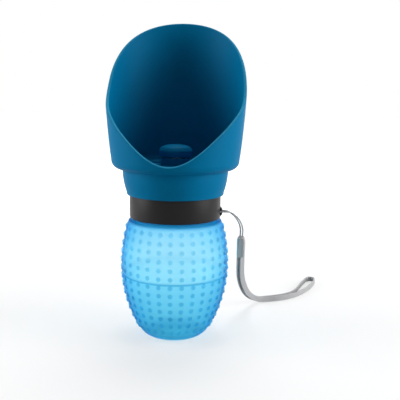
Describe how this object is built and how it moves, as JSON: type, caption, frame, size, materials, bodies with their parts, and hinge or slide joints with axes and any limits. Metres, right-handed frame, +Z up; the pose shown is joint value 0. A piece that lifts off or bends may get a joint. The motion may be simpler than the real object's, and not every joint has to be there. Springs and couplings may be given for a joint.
{
  "type": "dog travel water bottle",
  "caption": "Squeeze water bottle for dogs: a nubbed silicone bottle under a screw-on slanted drinking scoop with a push-pull valve, and a wrist strap on its collar.",
  "frame": {"origin": "centre of the bottle's foot, on the surface it stands on", "axes": "+Z up along the bottle's axis, -Y towards the scoop's low front lip, +X towards the strap's bar on the collar"},
  "size_m": [0.1842, 0.1995, 0.248],
  "materials": {
    "silicone_blue": "satin translucent silicone",
    "natural_plastic": "natural moulded plastic",
    "black_gloss": "polished",
    "clear_silicone": "satin",
    "cup_blue": "satin moulded plastic",
    "black_rubber": "matte",
    "clip_steel": "stamped spring steel",
    "cord_grey": "braided",
    "clip_grey": "satin",
    "webbing_grey": "woven"
  },
  "bodies": {
    "bottle": {"squeeze_bottle": "silicone_blue", "neck_ring": "natural_plastic", "collar": "black_gloss", "strap_cord": "cord_grey", "strap_clip": "clip_grey", "wrist_strap": "webbing_grey"},
    "seal": {"mouth_seal": "clear_silicone"},
    "cup": {"scoop_cup": "cup_blue"},
    "valve": {"valve_knob": "cup_blue", "knob_seal": "clear_silicone", "valve_stem": "natural_plastic", "stem_oring": "black_rubber", "valve_clip": "clip_steel"}
  },
  "joints": [
    {"name": "cup_rise", "type": "slide", "parent": "bottle", "child": "seal", "axis": [0, 0, 1], "range_m": [0, 0.006]},
    {"name": "cup_turn", "type": "hinge", "parent": "seal", "child": "cup", "pos_m": [0, 0, 0.1332], "axis": [0, 0, 1], "range_deg": [0, 540]},
    {"name": "valve_pull", "type": "slide", "parent": "cup", "child": "valve", "axis": [0, 0, 1], "range_m": [0, 0.005]}
  ],
  "couplings": [
    {"joint": "cup_rise", "follows": "cup_turn", "m_per_rad": 0.00063662}
  ]
}
